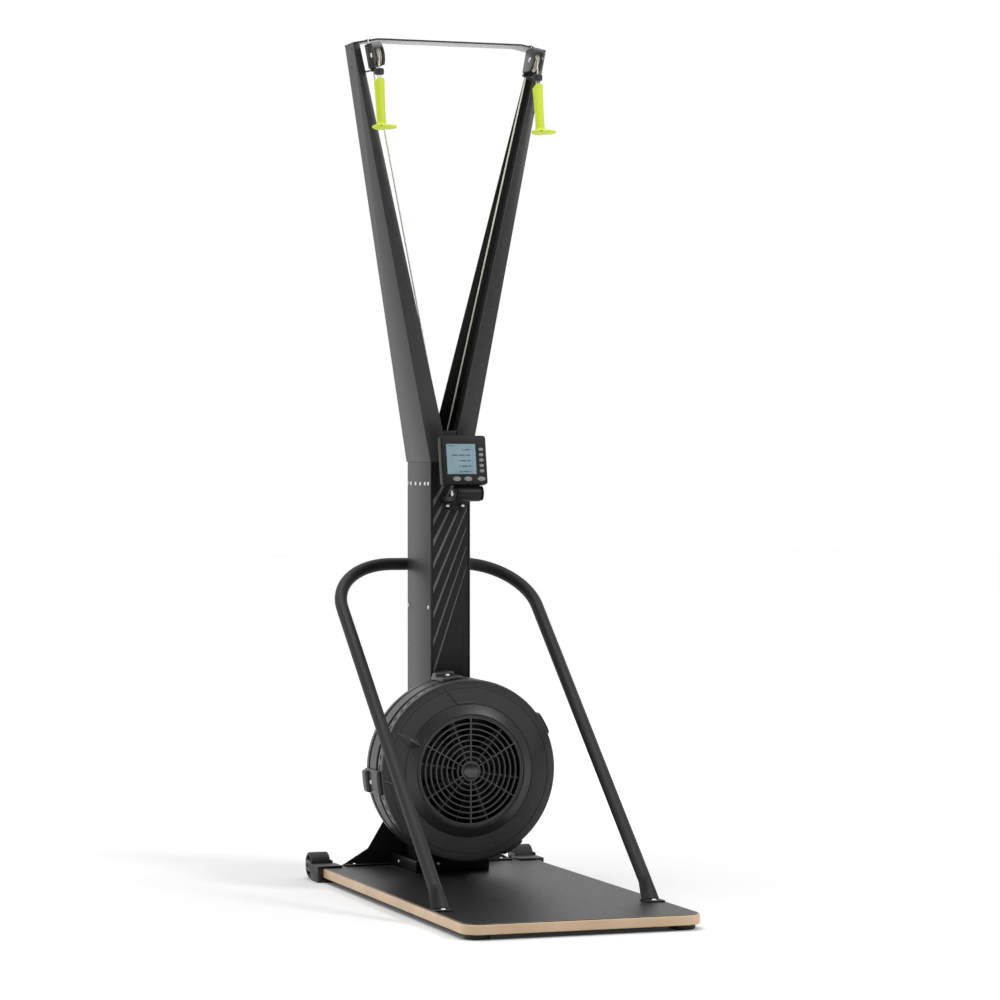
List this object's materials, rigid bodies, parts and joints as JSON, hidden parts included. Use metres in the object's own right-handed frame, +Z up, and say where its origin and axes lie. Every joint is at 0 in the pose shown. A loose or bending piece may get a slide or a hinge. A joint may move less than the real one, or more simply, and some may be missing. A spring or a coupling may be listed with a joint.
{
  "type": "ski trainer machine",
  "caption": "Free-standing ski trainer with an air-braked fan drum on a column, two angled arms, roped pull handles on swivel pulleys, a bent handrail, a monitor and a floor board.",
  "frame": {"origin": "middle of the footprint's bounding box, on the floor", "axes": "X across the machine, -Y towards the user's end of the board, +Z up"},
  "size_m": [0.62, 1.274, 2.1527],
  "materials": {
    "birch": "sanded clear-coated plywood core",
    "sheet": "fine-textured black tread sheet",
    "rubber": "moulded rubber",
    "tyre": "hard rubber wheel",
    "frame_paint": "satin charcoal powder coat",
    "black_paint": "satin black powder coat",
    "black_plastic": "fine-grained moulded plastic",
    "sheave_plastic": "smooth pale nylon",
    "zinc": "bright zinc plate",
    "steel": "turned steel",
    "lime": "soft lime green grip",
    "cord": "braided cream cord",
    "screen": "grey-green display window",
    "keys": "grey rubber keys"
  },
  "bodies": {
    "frame": {"base_board": "birch", "tread_sheet": "sheet", "base_shoe": "black_paint", "column_shell": "frame_paint", "cross_gusset": "black_paint", "front_panel": "black_paint", "top_strap": "frame_paint", "handrail": "black_paint", "drum_rear_cover": "black_plastic", "drum_front_cover": "black_plastic", "fan_grille": "black_plastic", "hub_cap": "black_plastic", "front_bearing": "steel", "rear_bearing": "steel", "spring_carrier": "black_paint", "monitor_stand": "black_paint", "tilt_bolt": "zinc", "board_foot_left": "rubber", "rear_bracket_left": "black_paint", "arm_left": "frame_paint", "rope_run_left": "cord", "board_foot_right": "rubber", "rear_bracket_right": "black_paint", "arm_right": "frame_paint", "rope_run_right": "cord", "cover_latch_left": "black_plastic", "cover_latch_right": "black_plastic", "cover_latch_top": "black_plastic", "cover_latch_lower": "black_plastic"},
    "fan": {"fan_wheel": "black_paint", "fan_shaft": "steel"},
    "monitor": {"monitor_housing": "black_plastic", "screen_glass": "screen"},
    "block_left": {"pulley_block_left": "black_plastic", "swivel_bolt_left": "zinc", "rope_wrap_left": "cord", "rope_fall_left": "cord"},
    "sheave_left": {"sheave_left": "sheave_plastic"},
    "grip_left": {"rope_stop_left": "rubber", "handle_left": "lime"},
    "spool_left": {"spool_left": "steel"},
    "wheel_left": {"transport_wheel_left": "tyre"},
    "block_right": {"pulley_block_right": "black_plastic", "swivel_bolt_right": "zinc", "rope_wrap_right": "cord", "rope_fall_right": "cord"},
    "sheave_right": {"sheave_right": "sheave_plastic"},
    "grip_right": {"rope_stop_right": "rubber", "handle_right": "lime"},
    "spool_right": {"spool_right": "steel"},
    "wheel_right": {"transport_wheel_right": "tyre"},
    "side_key_1": {"side_key_1": "keys"},
    "side_key_2": {"side_key_2": "keys"},
    "side_key_3": {"side_key_3": "keys"},
    "side_key_4": {"side_key_4": "keys"},
    "side_key_5": {"side_key_5": "keys"},
    "lower_key_1": {"lower_key_1": "keys"},
    "lower_key_2": {"lower_key_2": "keys"},
    "lower_key_3": {"lower_key_3": "keys"}
  },
  "joints": [
    {"name": "left_block_swivel", "type": "hinge", "parent": "frame", "child": "block_left", "pos_m": [-0.2115, 0.356, 2.1048], "axis": [-0.1908, 0, 0.9816], "range_deg": [-40, 40]},
    {"name": "left_handle_pull", "type": "slide", "parent": "block_left", "child": "grip_left", "axis": [0, 0, -1], "range_m": [0, 1.25], "stiffness_N_per_m": 8, "springref_m": -2.5, "deforming": ["rope_fall_left"]},
    {"name": "left_sheave_spin", "type": "hinge", "parent": "block_left", "child": "sheave_left", "pos_m": [-0.2115, 0.311, 2.1048], "axis": [0.9816, 0, 0.1908], "continuous": true},
    {"name": "left_spool_spin", "type": "hinge", "parent": "frame", "child": "spool_left", "pos_m": [0, 0.37, 0.3048], "axis": [0, 1, 0], "continuous": true},
    {"name": "left_wheel_roll", "type": "hinge", "parent": "frame", "child": "wheel_left", "pos_m": [-0.2787, 0.604, 0.035], "axis": [1, 0, 0], "continuous": true},
    {"name": "right_block_swivel", "type": "hinge", "parent": "frame", "child": "block_right", "pos_m": [0.2115, 0.356, 2.1048], "axis": [0.1908, 0, 0.9816], "range_deg": [-40, 40]},
    {"name": "right_handle_pull", "type": "slide", "parent": "block_right", "child": "grip_right", "axis": [0, 0, -1], "range_m": [0, 1.25], "stiffness_N_per_m": 8, "springref_m": -2.5, "deforming": ["rope_fall_right"]},
    {"name": "right_sheave_spin", "type": "hinge", "parent": "block_right", "child": "sheave_right", "pos_m": [0.2115, 0.311, 2.1048], "axis": [0.9816, 0, -0.1908], "continuous": true},
    {"name": "right_spool_spin", "type": "hinge", "parent": "frame", "child": "spool_right", "pos_m": [0, 0.392, 0.3048], "axis": [0, 1, 0], "continuous": true},
    {"name": "right_wheel_roll", "type": "hinge", "parent": "frame", "child": "wheel_right", "pos_m": [0.2787, 0.604, 0.035], "axis": [1, 0, 0], "continuous": true},
    {"name": "fan_spin", "type": "hinge", "parent": "frame", "child": "fan", "pos_m": [0, 0.274, 0.3048], "axis": [0, 1, 0], "continuous": true},
    {"name": "monitor_tilt", "type": "hinge", "parent": "frame", "child": "monitor", "pos_m": [0.0075, 0.251, 0.9998], "axis": [1, 0, 0], "range_deg": [-15, 15]},
    {"name": "side_key_1_press", "type": "slide", "parent": "monitor", "child": "side_key_1", "axis": [0, 0.9842, -0.1771], "range_m": [0, 0.0012], "stiffness_N_per_m": 450, "springref_m": -0.001},
    {"name": "side_key_2_press", "type": "slide", "parent": "monitor", "child": "side_key_2", "axis": [0, 0.9842, -0.1771], "range_m": [0, 0.0012], "stiffness_N_per_m": 450, "springref_m": -0.001},
    {"name": "side_key_3_press", "type": "slide", "parent": "monitor", "child": "side_key_3", "axis": [0, 0.9842, -0.1771], "range_m": [0, 0.0012], "stiffness_N_per_m": 450, "springref_m": -0.001},
    {"name": "side_key_4_press", "type": "slide", "parent": "monitor", "child": "side_key_4", "axis": [0, 0.9842, -0.1771], "range_m": [0, 0.0012], "stiffness_N_per_m": 450, "springref_m": -0.001},
    {"name": "side_key_5_press", "type": "slide", "parent": "monitor", "child": "side_key_5", "axis": [0, 0.9842, -0.1771], "range_m": [0, 0.0012], "stiffness_N_per_m": 450, "springref_m": -0.001},
    {"name": "lower_key_1_press", "type": "slide", "parent": "monitor", "child": "lower_key_1", "axis": [0, 0.9842, -0.1771], "range_m": [0, 0.0012], "stiffness_N_per_m": 450, "springref_m": -0.001},
    {"name": "lower_key_2_press", "type": "slide", "parent": "monitor", "child": "lower_key_2", "axis": [0, 0.9842, -0.1771], "range_m": [0, 0.0012], "stiffness_N_per_m": 450, "springref_m": -0.001},
    {"name": "lower_key_3_press", "type": "slide", "parent": "monitor", "child": "lower_key_3", "axis": [0, 0.9842, -0.1771], "range_m": [0, 0.0012], "stiffness_N_per_m": 450, "springref_m": -0.001}
  ],
  "couplings": [
    {"joint": "left_sheave_spin", "follows": "left_handle_pull", "rad_per_m": 38.462},
    {"joint": "left_spool_spin", "follows": "left_handle_pull", "rad_per_m": -41.667},
    {"joint": "right_sheave_spin", "follows": "right_handle_pull", "rad_per_m": 38.462},
    {"joint": "right_spool_spin", "follows": "right_handle_pull", "rad_per_m": -41.667}
  ]
}
